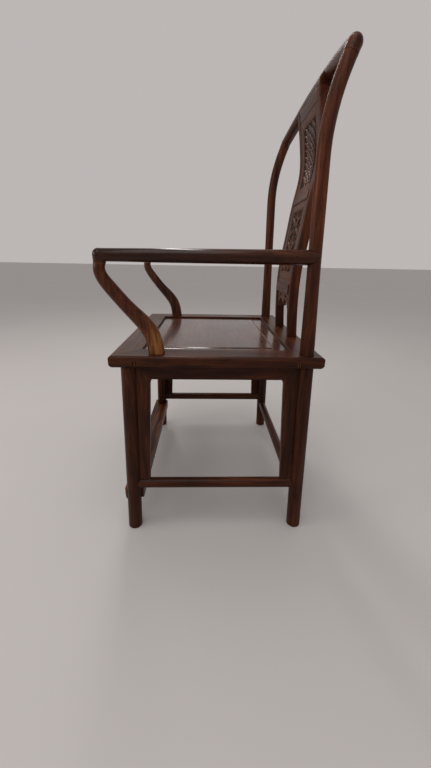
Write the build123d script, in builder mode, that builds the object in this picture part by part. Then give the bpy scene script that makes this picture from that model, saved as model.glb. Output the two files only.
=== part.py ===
from build123d import *
import os
from math import hypot

os.makedirs("parts", exist_ok=True)

# Official's hat chair. X runs to the sitter's left, -Y is the front, Z is up and the floor is Z = 0.
# Every dimension is in millimetres. Left-hand pieces are modelled and mirrored to make the right.

# ---- Driving dimensions -------------------------------------------------------------------------

fit = 0.15              # glue clearance on every face of every joint

seat_width = 610        # over the frame's outer edges
seat_depth = 495
seat_height = 496       # top of the seat frame
frame_thick = 29
rail_width = 65
panel_recess = 6        # the panel's margin lies this far below the frame's top
panel_margin = 34       # width of that margin round the panel's raised field
field_rise = 2.5
seat_mid = -3.5         # puts the middle of the whole chair's box over the origin

foot_in_x = 9           # leg axes where they meet the floor, inside the seat frame's edges
foot_in_front = 25
foot_in_back = 21
lean_x = 0.0363         # every leg leans in, per mm of height
lean_y = 0.031
leg_radius = 18.5
foot_round = 3
neck_radius = 16.8      # the back leg where it passes through the seat frame
# The back post's radius at heights above the seat frame.
post_radii = ((4, neck_radius), (104, 15.3), (194, 14.3), (294, 14.2), (384, 14.1))

post_bend_rise = 390    # above the seat frame the back post runs straight up to here
post_bend_radius = 405  # and then sweeps backwards
post_bend_angle = 21.5
post_top_radius = 13.9
crest_end_rise = 566    # the crest rail's axis at its two ends, above the seat frame
crest_rise = 36         # the crest rail's arch in the middle
crest_bow = 15          # and how far it bows backwards there
crest_end_radius = 14.2
crest_wing_radius = 14.8
# Section of the headrest in the middle, from the rail's axis: (backwards, up). Its front leans back.
pillow_section = ((-22, -21), (-22, -8), (-7, 15), (7, 15), (16, 5), (16, -21))
pillow_round = 5

arm_rise = 211          # the arms' axis above the seat frame
arm_front_in_x = 17     # its front end inside the seat frame's edges
arm_front_in_y = 0.5
arm_bow_in_x = 12       # and its middle
arm_front_radius = 12.9
arm_back_radius = 15.5
arm_nose = 2.5          # the arm's cheeks lap this far past the post's axis
arm_outset = 1.6        # and its end stands this far outside that axis
elbow_swell = 0.3       # the pipe joints' corners are this much fuller than their bars
arm_post_in_x = 31      # the gooseneck's foot inside the seat frame's edges
arm_post_in_y = 109.5
arm_post_radii = ((0, 18.5), (0.2, 18.4), (0.36, 17.6), (0.52, 15.6), (0.7, 14.6), (0.85, 13.7), (1, 13))

splat_half = 92         # half the splat's width over its stiles
stile_width = 21
stile_depth = 25
stile_round = 3.5

side_stretcher_height = 140
side_stretcher_radius = 14
back_stretcher_height = 108
back_stretcher_radius = 13.5
footrest_top = 119
footrest_thick = 29
footrest_reach = 25     # in front of the front legs' axes, and as far behind them
footrest_lap = 8        # its front edge laps the legs this far past their axes

apron_height = 32
apron_thick = 12
opening_corner = 12
# Each surround's opening: how far its sides stand inside the seat frame's edges at the stretcher
# and at the apron, and where its middle lies.
side_opening_in = (73, 87.5, 1)
front_opening_in = (58, 72, 0)

# ---- Derived places -----------------------------------------------------------------------------

frame_under = seat_height - frame_thick
panel_top = seat_height - panel_recess
apron_under = frame_under - apron_height
half_x = seat_width / 2
half_y = seat_depth / 2
foot_x = half_x - foot_in_x
foot_front = half_y - foot_in_front
foot_back = half_y - foot_in_back
arm_height = seat_height + arm_rise
crest_height = seat_height + crest_end_rise
post_bend_start = seat_height + post_bend_rise
side_opening = (half_y - side_opening_in[0], half_y - side_opening_in[1], side_opening_in[2])
front_opening = (half_x - front_opening_in[0], half_x - front_opening_in[1], front_opening_in[2])
front_edge = seat_mid - seat_depth / 2
back_edge = seat_mid + seat_depth / 2
inner_x = half_x - rail_width
inner_front = front_edge + rail_width
inner_back = back_edge - rail_width
inner_depth = inner_back - inner_front

# Three leaning planes hold the leg axes: the left side, the front and the back of the base.
# In each of them local x runs along the seat and local y runs up the lean.
side_plane = Plane(origin=(foot_x, seat_mid, 0), x_dir=(0, 1, 0), z_dir=(1, 0, lean_x))
front_plane = Plane(origin=(0, seat_mid - foot_front, 0), x_dir=(1, 0, 0), z_dir=(0, -1, lean_y))
back_plane = Plane(origin=(0, seat_mid + foot_back, 0), x_dir=(-1, 0, 0), z_dir=(0, 1, lean_y))


def leg_point(height, back):
    """A point on the left front or left back leg's axis."""
    foot_y = foot_back - lean_y * height if back else lean_y * height - foot_front
    return Vector(foot_x - lean_x * height, seat_mid + foot_y, height)


def side_leg_x(height, back):
    """The same axis in the side plane: local x at a local height."""
    return foot_back - lean_y * height if back else lean_y * height - foot_front


def cross_leg_x(height, far):
    """A leg's axis in the front or back plane; far is the one on local +x."""
    return (foot_x - lean_x * height) * (1 if far else -1)


def steady_x(direction):
    """An x direction that is never along the given one, so that lofts don't twist."""
    return (0, 1, 0) if abs(direction.X) > hypot(direction.Y, direction.Z) else (1, 0, 0)


def round_bar(stations, ruled=False):
    """A round bar lofted through (point, direction, radius) stations."""
    with BuildPart(mode=Mode.PRIVATE) as bar:
        for point, direction, radius in stations:
            with BuildSketch(Plane(origin=point, x_dir=steady_x(direction), z_dir=direction)):
                Circle(radius)
        loft(ruled=ruled)
    return bar.part


def rod(start, end, radius):
    """A straight round rod between two points."""
    run = end - start
    return round_bar([(start, run, radius), (end, run, radius)], ruled=True)


def leg_bore(back, radius, low=-20, high=seat_height + 44):
    """A straight cylinder on a left leg's axis, used to cope whatever meets the leg."""
    return rod(leg_point(low, back), leg_point(high, back), radius)


def mirrored(part):
    """The right-hand twin of a left-hand piece."""
    return mirror(part, about=Plane.YZ, mode=Mode.PRIVATE)


def save(part, name):
    """Labels one finished piece and writes it."""
    part.label = name
    export_step(part, f"parts/{name}.step")


def save_pair(part, name):
    """Writes a left-hand piece and its mirror image."""
    save(part, name + "_left")
    save(mirrored(part), name + "_right")


# ---- Centrelines of the curved members ----------------------------------------------------------

with BuildLine(side_plane) as post_line:
    post_straight = Line((foot_back, 0), (foot_back - lean_y * post_bend_start, post_bend_start))
    post_bend = JernArc(post_straight @ 1, post_straight % 1, post_bend_radius, -post_bend_angle)

post_top = post_bend @ 1
post_top_direction = (post_bend % 1).normalized()
crest_end = post_top + post_top_direction * ((crest_height - post_top.Z) / post_top_direction.Z)
crest_joint = crest_end - post_top_direction * (crest_end_radius + 1)
crest_middle = Vector(0, crest_end.Y + crest_bow, crest_end.Z + crest_rise)
crest_line = ThreePointArc(crest_end, crest_middle, Vector(-crest_end.X, crest_end.Y, crest_end.Z))

pillow_under = crest_middle.Z + pillow_section[0][1]

arm_front = Vector(half_x - arm_front_in_x, front_edge + arm_front_in_y, arm_height)
arm_back = leg_point(arm_height + 2, True) + Vector(arm_outset, 0, 0)
arm_middle = Vector(half_x - arm_bow_in_x, (arm_front.Y + arm_back.Y) / 2, arm_height + 1)
arm_line = ThreePointArc(arm_front, arm_middle, arm_back)
arm_joint = arm_front - Vector(0, 0, arm_front_radius + 2)

arm_post_foot = Vector(half_x - arm_post_in_x, front_edge + arm_post_in_y, seat_height)
# The gooseneck is drawn for this rise from its foot to the elbow, and stretched to the real one.
gooseneck_drawn_rise = 196.1
gooseneck_points = ((-0.5, 2, -12), (2, -17, 54), (6, -58, 103), (11, -97, 152))
gooseneck_stretch = (arm_joint.Z - seat_height) / gooseneck_drawn_rise
arm_post_line = Spline(
    [arm_post_foot + Vector(x, y, z * gooseneck_stretch) for x, y, z in gooseneck_points] + [arm_joint],
    tangents=[(0.02, -0.2, 1), (0, 0, 1)],
)

# Front face of the splat seen from the side: Y from the seat frame's back edge and height above its
# top, drawn for this rise from the seat frame to the headrest and stretched to the real one.
splat_drawn_rise = 581
splat_points = (
    (-35, -10), (-43, 104), (-41.5, 184), (-28.5, 279), (-14.5, 376),
    (-4, 439), (-9.5, 504), (-16.5, 544), (-22.5, 574), (-24.5, 596),
)
splat_stretch = (pillow_under - seat_height) / splat_drawn_rise
splat_curve = [(half_y + y, seat_height + z * splat_stretch) for y, z in splat_points]
splat_middle_y = seat_mid + half_y - 27.5       # about the middle of its S, for cutting it to length
splat_cut_depth = 200
apron_middle_y = splat_middle_y - 10            # and about the middle of its apron

# ---- Joints of the seat frame -------------------------------------------------------------------

edge_round_top = 6.5
edge_round_under = 11
groove_depth = 8
tongue_thick = 6
tongue_low = panel_top - 10
corner_notch = 34       # the panel's tongue is cut back round the through tenons
through_tenon = (10, 13)            # width and height
through_tenon_low = frame_under + 5
brace_x = 105
brace_width = 34
brace_under = frame_under + 1
brace_tenon = (20, 12)              # width and length
dovetail = (16, 20, 3)              # width at its root, at its top, and height
leg_tenon = (16, 18)                # side and height
rail_tongue = 4         # the aprons' tongues into the rails
board_tongue = 5        # thickness of every apron's tongue
tongue_into_leg = 6
stile_tenon = (11, 12, 18)          # along X, along Y, and length
arm_post_tenon = (10, 18)           # radius and length
pipe_tenon_radius = 7.5             # the round tenons inside the two kinds of elbow
arm_tenon_radius = 7
tenon_past_axis = 4


def rail_section(plane):
    """A rail's section: local x runs in from the outer edge, local y up from the underside."""
    with BuildSketch(plane) as section:
        Rectangle(rail_width, frame_thick, align=(Align.MIN, Align.MIN))
        fillet(section.vertices().sort_by_distance((0, frame_thick))[0], edge_round_top)
        fillet(section.vertices().sort_by_distance((0, 0))[0], edge_round_under)
        with Locations((rail_width, tongue_low - frame_under - fit)):
            Rectangle(
                2 * (groove_depth + fit), tongue_thick + 2 * fit,
                align=(Align.CENTER, Align.MIN), mode=Mode.SUBTRACT,
            )
    return section.sketch


def long_rail(y_edge, inward):
    """A front or back rail with its mitred ends, before its joints are cut."""
    plane = Plane(origin=(0, y_edge, frame_under), x_dir=(0, inward, 0), z_dir=(inward, 0, 0))
    with BuildPart(mode=Mode.PRIVATE) as rail:
        extrude(rail_section(plane), amount=half_x + 5, both=True)
        for side in (1, -1):
            mitre = Plane(origin=(side * half_x, y_edge, 0), x_dir=(0, 0, 1), z_dir=(side, inward, 0))
            split(bisect_by=mitre, keep=Keep.BOTTOM)
    return rail.part


def short_rail():
    """The left rail with its mitred ends, before its joints are cut."""
    plane = Plane(origin=(half_x, seat_mid, frame_under), x_dir=(-1, 0, 0), z_dir=(0, 1, 0))
    with BuildPart(mode=Mode.PRIVATE) as rail:
        extrude(rail_section(plane), amount=seat_depth / 2 + 5, both=True)
        for y_edge, inward in ((front_edge, 1), (back_edge, -1)):
            mitre = Plane(origin=(half_x, y_edge, 0), x_dir=(0, 0, 1), z_dir=(1, inward, 0))
            split(bisect_by=mitre, keep=Keep.TOP)
    return rail.part


def through_tenon_bar(back, clearance):
    """A long rail's left tenon, which runs right through the left rail."""
    width, height = through_tenon
    y_inner, step = (inner_back, 1) if back else (inner_front, -1)
    with BuildPart(mode=Mode.PRIVATE) as tenon:
        with BuildSketch(Plane.XY.offset(through_tenon_low - clearance)):
            with Locations((inner_x - 6, y_inner + step * (1.2 + width / 2))):
                Rectangle(
                    rail_width + 6 + clearance, width + 2 * clearance,
                    align=(Align.MIN, Align.CENTER),
                )
        extrude(amount=height + 2 * clearance)
    return tenon.part


def leg_top_tenon(back, clearance):
    """The square tenon on top of the left front leg, or the left back leg's round neck."""
    if back:
        return leg_bore(True, neck_radius + clearance, frame_under - 4, seat_height + 12)
    point = leg_point(frame_under, False)
    side, height = leg_tenon
    with BuildPart(mode=Mode.PRIVATE) as tenon:
        with BuildSketch(Plane.XY.offset(frame_under - 2)):
            with Locations((point.X, point.Y)):
                Rectangle(side + 2 * clearance, side + 2 * clearance)
        extrude(amount=height + 2 + clearance)
    return tenon.part


def dovetail_rib(clearance, depth):
    """The sliding rib on top of the left brace; depth is how far it roots into the bar below."""
    root, crown, height = dovetail
    with BuildPart(mode=Mode.PRIVATE) as rib:
        with BuildSketch(Plane.XZ.offset(-seat_mid)):
            with Locations((brace_x, tongue_low)):
                Polygon(
                    (-root / 2 - clearance, -depth),
                    (-root / 2 - clearance, 0),
                    (-crown / 2 - clearance, height + clearance),
                    (crown / 2 + clearance, height + clearance),
                    (root / 2 + clearance, 0),
                    (root / 2 + clearance, -depth),
                    align=None,
                )
        extrude(amount=inner_depth / 2 - 1 + 40 * clearance, both=True)
    return rib.part


def brace_tenons(clearance):
    """The stub tenons at the two ends of the left brace, as one bar between the rails."""
    width, length = brace_tenon
    with BuildPart(mode=Mode.PRIVATE) as tenons:
        with BuildSketch(Plane.XY.offset(brace_under + 2 - clearance)):
            with Locations((brace_x, seat_mid)):
                Rectangle(width + 2 * clearance, inner_depth + 2 * (length + clearance))
        extrude(amount=tongue_low - brace_under - 4 + 2 * clearance)
    return tenons.part


def stile_tenon_bar(clearance):
    """The left splat stile's foot tenon in the back rail."""
    along_x, along_y, length = stile_tenon
    with BuildPart(mode=Mode.PRIVATE) as tenon:
        with BuildSketch(Plane.XY.offset(seat_height - length - clearance)):
            with Locations((splat_half - stile_width / 2, seat_mid + splat_curve[0][0] + stile_depth / 2)):
                Rectangle(along_x + 2 * clearance, along_y + 2 * clearance)
        extrude(amount=length + 8)
    return tenon.part


def arm_post_tenon_rod(clearance):
    """The round tenon under the left gooseneck."""
    radius, length = arm_post_tenon
    low = arm_post_foot - Vector(0, 0, length + clearance)
    return rod(low, arm_post_foot + Vector(0, 0, 8), radius + clearance)


# ---- Joints of the aprons and boards under the seat ---------------------------------------------


def draw_surround(leg_x, low, opening, inset):
    """Draws the quad between two legs less an opening whose upper corners are round."""
    half_low, half_top, middle = opening
    top = frame_under + 12
    Polygon(
        (leg_x(low, 0) + inset, low),
        (leg_x(top, 0) + inset, top),
        (leg_x(top, 1) - inset, top),
        (leg_x(low, 1) - inset, low),
        align=None,
    )
    Polygon(
        (middle - half_low, low - 1),
        (middle - half_top, apron_under),
        (middle + half_top, apron_under),
        (middle + half_low, low - 1),
        align=None, mode=Mode.SUBTRACT,
    )
    for corner_x in (middle - half_top, middle + half_top):
        fillet(vertices().sort_by_distance((corner_x, apron_under))[0], opening_corner)


def surround_piece(plane, leg_x, low, opening, zone):
    """One piece of a surround: a flat board coped to the round legs, with a tongue all along."""
    other_leg = leg_bore(True, leg_radius + fit)
    if plane is front_plane:
        other_leg = mirrored(leg_bore(False, leg_radius + fit))
    with BuildPart(mode=Mode.PRIVATE) as body:
        with BuildSketch(plane):
            draw_surround(leg_x, low, opening, 0)
            Polygon(*zone, align=None, mode=Mode.INTERSECT)
        extrude(amount=apron_thick / 2, both=True)
        split(bisect_by=Plane.XY.offset(frame_under), keep=Keep.BOTTOM)
        add(leg_bore(False, leg_radius + fit), mode=Mode.SUBTRACT)
        add(other_leg, mode=Mode.SUBTRACT)
    with BuildPart(mode=Mode.PRIVATE) as tongue:
        with BuildSketch(plane):
            draw_surround(leg_x, low, opening, leg_radius - tongue_into_leg)
            Polygon(*zone, align=None, mode=Mode.INTERSECT)
        extrude(amount=board_tongue / 2, both=True)
        split(bisect_by=Plane.XY.offset(frame_under + rail_tongue), keep=Keep.BOTTOM)
        add(leg_bore(True, leg_radius + fit, frame_under - 1), mode=Mode.SUBTRACT)
    with BuildPart(mode=Mode.PRIVATE) as board:
        add(body.part)
        add(tongue.part)
        split(bisect_by=Plane.XY.offset(low), keep=Keep.TOP)
    return board.part


def mitre_zones(leg_x, low, opening):
    """The zones that cut a surround into its apron and its two boards, in local x and y."""
    half_top, middle = opening[1], opening[2]
    past = 30
    ends = []
    for far, shoulder in ((0, leg_radius), (1, -leg_radius)):
        corner = middle + (half_top if far else -half_top)
        run = (leg_x(frame_under, far) + shoulder - corner) / apron_height
        ends.append((corner, corner + run * (apron_height + past)))
    (left_corner, left_end), (right_corner, right_end) = ends
    top = frame_under + past
    apron = ((left_end, top), (left_corner, apron_under), (right_corner, apron_under), (right_end, top))
    left = ((left_end, top), (left_end - 40, low), (middle, low), (left_corner, apron_under))
    right = ((right_end, top), (right_end + 40, low), (middle, low), (right_corner, apron_under))
    return apron, left, right


def plain_apron(plane, leg_x, low, top, rail_depth, back):
    """A straight apron between two legs, with a tongue in each and perhaps one in the rail above."""
    inset = leg_radius - tongue_into_leg
    high = top + rail_depth + 2
    with BuildPart(mode=Mode.PRIVATE) as apron:
        with BuildSketch(plane):
            Polygon(
                (leg_x(low, 0), low), (leg_x(high, 0), high),
                (leg_x(high, 1), high), (leg_x(low, 1), low),
                align=None,
            )
        extrude(amount=apron_thick / 2, both=True)
        split(bisect_by=Plane.XY.offset(top), keep=Keep.BOTTOM)
        add(leg_bore(back, leg_radius + fit), mode=Mode.SUBTRACT)
        add(mirrored(leg_bore(back, leg_radius + fit)), mode=Mode.SUBTRACT)
    with BuildPart(mode=Mode.PRIVATE) as tongue:
        with BuildSketch(plane):
            Polygon(
                (leg_x(low, 0) + inset, low), (leg_x(high, 0) + inset, high),
                (leg_x(high, 1) - inset, high), (leg_x(low, 1) - inset, low),
                align=None,
            )
        extrude(amount=board_tongue / 2, both=True)
        split(bisect_by=Plane.XY.offset(top + rail_depth), keep=Keep.BOTTOM)
        neck = leg_bore(True, leg_radius + fit, frame_under - 1)
        add(neck, mode=Mode.SUBTRACT)
        add(mirrored(neck), mode=Mode.SUBTRACT)
    return apron.part + tongue.part


def leg_groove(plane, leg_x, far, low, top):
    """The groove in a leg that takes a board's tongue between two local heights."""
    step = -1 if far else 1
    near = step * (leg_radius - tongue_into_leg - fit)
    clear = step * (leg_radius + 6)
    with BuildPart(mode=Mode.PRIVATE) as groove:
        with BuildSketch(plane):
            Polygon(
                (leg_x(low, far) + near, low),
                (leg_x(top, far) + near, top),
                (leg_x(top, far) + clear, top),
                (leg_x(low, far) + clear, low),
                align=None,
            )
        extrude(amount=board_tongue / 2 + fit, both=True)
    return groove.part


def rail_groove(plane, leg_x):
    """The groove under a seat rail that takes an apron's tongue."""
    low, top = frame_under - 10, frame_under + 12
    left, right = leg_x(frame_under, 0) + 6, leg_x(frame_under, 1) - 6
    with BuildPart(mode=Mode.PRIVATE) as groove:
        with BuildSketch(plane):
            Polygon((left, low), (left, top), (right, top), (right, low), align=None)
        extrude(amount=board_tongue / 2 + fit, both=True)
        split(bisect_by=Plane.XY.offset(frame_under + rail_tongue + fit), keep=Keep.BOTTOM)
    return groove.part


# ---- Joints of the stretchers -------------------------------------------------------------------

stretcher_tenon_radius = 7
footrest_tenon = (14, 26)           # height and width
footrest_apron_height = 24

side_stretcher_ends = (leg_point(side_stretcher_height, False), leg_point(side_stretcher_height, True))
back_left = leg_point(back_stretcher_height, True)
back_stretcher_ends = (Vector(-back_left.X, back_left.Y, back_left.Z), back_left)
footrest_under = footrest_top - footrest_thick
footrest_axis = leg_point(footrest_top - footrest_thick / 2, False)


def stretcher_tenons(ends, clearance):
    """The thin rod that runs from just past one leg's axis to just past the other's."""
    past = (ends[1] - ends[0]).normalized() * (tenon_past_axis + clearance)
    return rod(ends[0] - past, ends[1] + past, stretcher_tenon_radius + clearance)


def footrest_tenons(clearance):
    """The footrest's flat tenons, as one bar that ends just past the front legs' axes."""
    height, width = footrest_tenon
    with BuildPart(mode=Mode.PRIVATE) as bar:
        with BuildSketch(Plane.XY.offset(footrest_axis.Z - height / 2 - clearance)):
            with Locations((0, footrest_axis.Y)):
                Rectangle(2 * (footrest_axis.X + tenon_past_axis + clearance), width + 2 * clearance)
        extrude(amount=height + 2 * clearance)
    return bar.part


# ---- Joints of the splat ------------------------------------------------------------------------

stile_inner = splat_half - stile_width
# Low and high edge of each crosspiece; the top one runs on to the crest rail.
top_rail = (pillow_under - 25, pillow_under - 11)
upper_divider = (seat_height + 356 * splat_stretch, seat_height + 376 * splat_stretch)
lower_divider = (seat_height + 117, seat_height + 156)
carved_apron_low = seat_height + 70
apron_tongue = (carved_apron_low + 5, lower_divider[0])
panel_front = 1.5       # the carved panels' high points lie this far behind the stiles' faces
panel_thick = 14
panel_tongue = (6, 5)               # thickness and depth
crosspiece_tenon = (8, 9)           # thickness and length
divider_proud = 1                   # the upper divider's rounded face, before the stiles' faces
divider_round = 3
divider_nose = (2.5, 74)            # the lower divider's nose: how far it stands proud, and half its length
stile_high = pillow_under + 9       # the stiles' blank, before the headrest cuts it
stile_shoulder = pillow_under - 11  # the stiles' tenons in the crest rail run from inside the stiles
stile_top = pillow_under + 13       # to here


def splat_slab(near, far, low, high, half):
    """A slab that follows the splat's curve, from near to far behind its front face."""
    with BuildPart(mode=Mode.PRIVATE) as slab:
        with BuildSketch(Plane.YZ):
            with BuildLine():
                front = Spline([(seat_mid + y + near, z) for y, z in splat_curve])
                back = Spline([(seat_mid + y + far, z) for y, z in splat_curve])
                Line(front @ 0, back @ 0)
                Line(front @ 1, back @ 1)
            make_face()
            with Locations((splat_middle_y, (low + high) / 2)):
                Rectangle(splat_cut_depth, high - low, mode=Mode.INTERSECT)
        extrude(amount=half, both=True)
    return slab.part


def crosspiece_tenons(low, high, clearance):
    """A splat crosspiece's tenons, as one slab that ends inside both stiles."""
    thick, length = crosspiece_tenon
    near = (stile_depth - thick) / 2 - clearance
    far = near + thick + 2 * clearance
    return splat_slab(near, far, low + 3 - clearance, high - 3 + clearance, stile_inner + length + clearance)


def panel_tongues(low, high, clearance):
    """The tongue round a splat panel, as one slab."""
    thick, depth = panel_tongue
    near = panel_front + (panel_thick - thick) / 2 + 1 - clearance
    far = near + thick + 2 * clearance
    reach = depth + clearance
    return splat_slab(near, far, low - reach, high + reach, stile_inner + reach)


def crest_station(place):
    """The plane across the crest rail at a place along it: local x runs back and local y up."""
    return Plane(origin=crest_line @ place, x_dir=(0, 1, 0), z_dir=-(crest_line % place))


# The headrest's flat underside over the left stile.
over_stile = crest_station((1 - (splat_half - stile_width / 2) / crest_end.X) / 2)
under_headrest = over_stile.from_local_coords((0, pillow_section[0][1] - fit))
headrest_seat = Plane(origin=under_headrest, x_dir=over_stile.x_dir, z_dir=over_stile.y_dir)


def crest_body(grow):
    """The crest rail's bar without its elbows; grow swells it for coping its neighbours."""
    reach = splat_half / crest_end.X
    stations = []
    for share in (1, (1 + reach) / 2, reach, 0, -reach, -(1 + reach) / 2, -1):
        radius = crest_end_radius + (crest_wing_radius - crest_end_radius) * (1 - abs(share))
        stations.append((crest_line @ ((1 - share) / 2), crest_line % ((1 - share) / 2), radius + grow))
    with BuildPart(mode=Mode.PRIVATE) as bar:
        add(round_bar(stations))
        for share in (1.1 * reach, reach / 2, 0, -reach / 2, -1.1 * reach):
            with BuildSketch(crest_station((1 - share) / 2)):
                Polygon(*pillow_section, align=None)
                fillet(vertices(), pillow_round)
                if grow > 0:
                    offset(amount=grow)
        pillow = loft(mode=Mode.PRIVATE)
        half = splat_half + grow
        pillow = pillow.split(Plane(origin=(half, 0, 0), z_dir=(1, 0, 0)), keep=Keep.BOTTOM)
        add(pillow.split(Plane(origin=(-half, 0, 0), z_dir=(1, 0, 0)), keep=Keep.TOP))
    return bar.part


def post_tenon(clearance):
    """The round tenon on top of the left back post."""
    past = crest_end + post_top_direction * (tenon_past_axis + clearance)
    return rod(crest_joint - post_top_direction * 4, past, pipe_tenon_radius + clearance)


def arm_post_top_tenon(clearance):
    """The round tenon on top of the left gooseneck."""
    top = arm_front + Vector(0, 0, tenon_past_axis + clearance)
    return rod(arm_joint - Vector(0, 0, 4), top, pipe_tenon_radius + clearance)


def arm_back_tenon(clearance):
    """The round tenon at the back of the left arm, in the post."""
    direction = arm_line % 1
    end = arm_back + direction * (tenon_past_axis + clearance)
    return rod(arm_back - direction * 30, end, arm_tenon_radius + clearance)


def stile_top_tenon(clearance):
    """The left splat stile's tenon in the crest rail."""
    along_x, along_y, length = stile_tenon
    near = (stile_depth - along_y) / 2 - clearance
    reach = splat_half - (stile_width - along_x) / 2 + clearance
    with BuildPart(mode=Mode.PRIVATE) as tenon:
        add(splat_slab(near, near + along_y + 2 * clearance, stile_shoulder, stile_top + clearance, reach))
        with Locations((0, splat_middle_y, stile_top)):
            Box(2 * (reach - along_x - 2 * clearance), splat_cut_depth, splat_cut_depth, mode=Mode.SUBTRACT)
        split(bisect_by=Plane.YZ, keep=Keep.TOP)
    return tenon.part


# ---- Seat ---------------------------------------------------------------------------------------

with BuildPart() as seat_front_rail:
    add(long_rail(front_edge, 1))
    add(through_tenon_bar(False, 0))
    add(mirrored(through_tenon_bar(False, 0)))
    for cut in (leg_top_tenon(False, fit), brace_tenons(fit)):
        add(cut, mode=Mode.SUBTRACT)
        add(mirrored(cut), mode=Mode.SUBTRACT)
    add(rail_groove(front_plane, cross_leg_x), mode=Mode.SUBTRACT)
save(seat_front_rail.part, "seat_front_rail")

with BuildPart() as seat_back_rail:
    add(long_rail(back_edge, -1))
    add(through_tenon_bar(True, 0))
    add(mirrored(through_tenon_bar(True, 0)))
    for cut in (leg_top_tenon(True, fit), brace_tenons(fit), stile_tenon_bar(fit)):
        add(cut, mode=Mode.SUBTRACT)
        add(mirrored(cut), mode=Mode.SUBTRACT)
    add(rail_groove(back_plane, cross_leg_x), mode=Mode.SUBTRACT)
save(seat_back_rail.part, "seat_back_rail")

with BuildPart() as seat_side_rail:
    add(short_rail())
    for back in (False, True):
        add(through_tenon_bar(back, fit), mode=Mode.SUBTRACT)
        add(leg_top_tenon(back, fit), mode=Mode.SUBTRACT)
    add(arm_post_tenon_rod(fit), mode=Mode.SUBTRACT)
    for plane, leg_x in ((side_plane, side_leg_x), (front_plane, cross_leg_x), (back_plane, cross_leg_x)):
        add(rail_groove(plane, leg_x), mode=Mode.SUBTRACT)
save_pair(seat_side_rail.part, "seat_side_rail")

with BuildPart() as seat_panel:
    with BuildSketch(Plane.XY.offset(tongue_low)):
        with Locations((0, seat_mid)):
            tongue_x = 2 * (inner_x + groove_depth - 1)
            tongue_y = inner_depth + 2 * (groove_depth - 1)
            Rectangle(tongue_x, tongue_y)
            with GridLocations(tongue_x, tongue_y, 2, 2):
                Rectangle(corner_notch, corner_notch, mode=Mode.SUBTRACT)
    extrude(amount=tongue_thick)
    with BuildSketch(Plane.XY.offset(tongue_low)):
        with Locations((0, seat_mid)):
            Rectangle(2 * (inner_x - 0.6), inner_depth - 1.2)
    extrude(amount=panel_top - tongue_low)
    with BuildSketch(Plane.XY.offset(panel_top)):
        with Locations((0, seat_mid)):
            Rectangle(2 * (inner_x - panel_margin), inner_depth - 2 * panel_margin)
    extrude(amount=field_rise, taper=60)
    add(dovetail_rib(fit, 2), mode=Mode.SUBTRACT)
    add(mirrored(dovetail_rib(fit, 2)), mode=Mode.SUBTRACT)
save(seat_panel.part, "seat_panel")

with BuildPart() as seat_brace:
    with BuildSketch(Plane.XY.offset(brace_under)):
        with Locations((brace_x, seat_mid)):
            Rectangle(brace_width, inner_depth - 2 * fit)
    extrude(amount=tongue_low - brace_under)
    add(dovetail_rib(0, 2))
    add(brace_tenons(0))
save_pair(seat_brace.part, "seat_brace")

# ---- Legs and back posts ------------------------------------------------------------------------

with BuildPart() as front_leg:
    add(leg_bore(False, leg_radius))
    split(bisect_by=Plane.XY, keep=Keep.TOP)
    split(bisect_by=Plane.XY.offset(frame_under), keep=Keep.BOTTOM)
    fillet(front_leg.edges().group_by(Axis.Z)[0], foot_round)
    add(leg_top_tenon(False, 0))
    add(stretcher_tenons(side_stretcher_ends, fit), mode=Mode.SUBTRACT)
    add(footrest_tenons(fit), mode=Mode.SUBTRACT)
    add(leg_groove(side_plane, side_leg_x, 0, side_stretcher_height, frame_under + 2), mode=Mode.SUBTRACT)
    add(leg_groove(front_plane, cross_leg_x, 1, footrest_top - 6, frame_under + 2), mode=Mode.SUBTRACT)
    apron_low = footrest_under - footrest_apron_height - fit
    add(leg_groove(front_plane, cross_leg_x, 1, apron_low, footrest_under + 4), mode=Mode.SUBTRACT)
save_pair(front_leg.part, "front_leg")

with BuildPart() as back_post:
    add(leg_bore(True, leg_radius))
    split(bisect_by=Plane.XY, keep=Keep.TOP)
    split(bisect_by=Plane.XY.offset(frame_under), keep=Keep.BOTTOM)
    fillet(back_post.edges().group_by(Axis.Z)[0], foot_round)
    straight = [(leg_point(frame_under - 6, True), neck_radius)]
    straight += [(leg_point(seat_height + rise, True), radius) for rise, radius in post_radii]
    stations = [(point, leg_point(1, True) - leg_point(0, True), radius) for point, radius in straight]
    for place in (0.25, 0.5, 0.75, 1):
        stations.append((post_bend @ place, post_bend % place, post_top_radius))
    stations.append((crest_joint, post_top_direction, post_top_radius))
    add(round_bar(stations))
    add(post_tenon(0))
    add(arm_back_tenon(fit), mode=Mode.SUBTRACT)
    add(stretcher_tenons(side_stretcher_ends, fit), mode=Mode.SUBTRACT)
    add(stretcher_tenons(back_stretcher_ends, fit), mode=Mode.SUBTRACT)
    add(leg_groove(side_plane, side_leg_x, 1, side_stretcher_height, frame_under - 0.2), mode=Mode.SUBTRACT)
    add(leg_groove(back_plane, cross_leg_x, 0, apron_under - fit, frame_under - 0.2), mode=Mode.SUBTRACT)
save_pair(back_post.part, "back_post")

# ---- Arms, goosenecks and crest rail ------------------------------------------------------------

with BuildPart() as arm:
    arm_stations = []
    for place in (0, 0.25, 0.5, 0.75, 1):
        radius = arm_front_radius + (arm_back_radius - arm_front_radius) * place
        arm_stations.append((arm_line @ place, arm_line % place, radius))
    arm_stations.append((arm_back + (arm_line % 1) * arm_nose, arm_line % 1, arm_back_radius))
    add(round_bar(arm_stations))
    with Locations(arm_front):
        Sphere(arm_front_radius + elbow_swell)
    add(rod(arm_joint, arm_front, arm_front_radius))
    post_bore = leg_bore(True, post_radii[2][1] + fit, arm_height - 67, arm_height + 73)
    add(post_bore, mode=Mode.SUBTRACT)
    add(arm_back_tenon(0))
    add(arm_post_top_tenon(fit), mode=Mode.SUBTRACT)
save_pair(arm.part, "arm")

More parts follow.
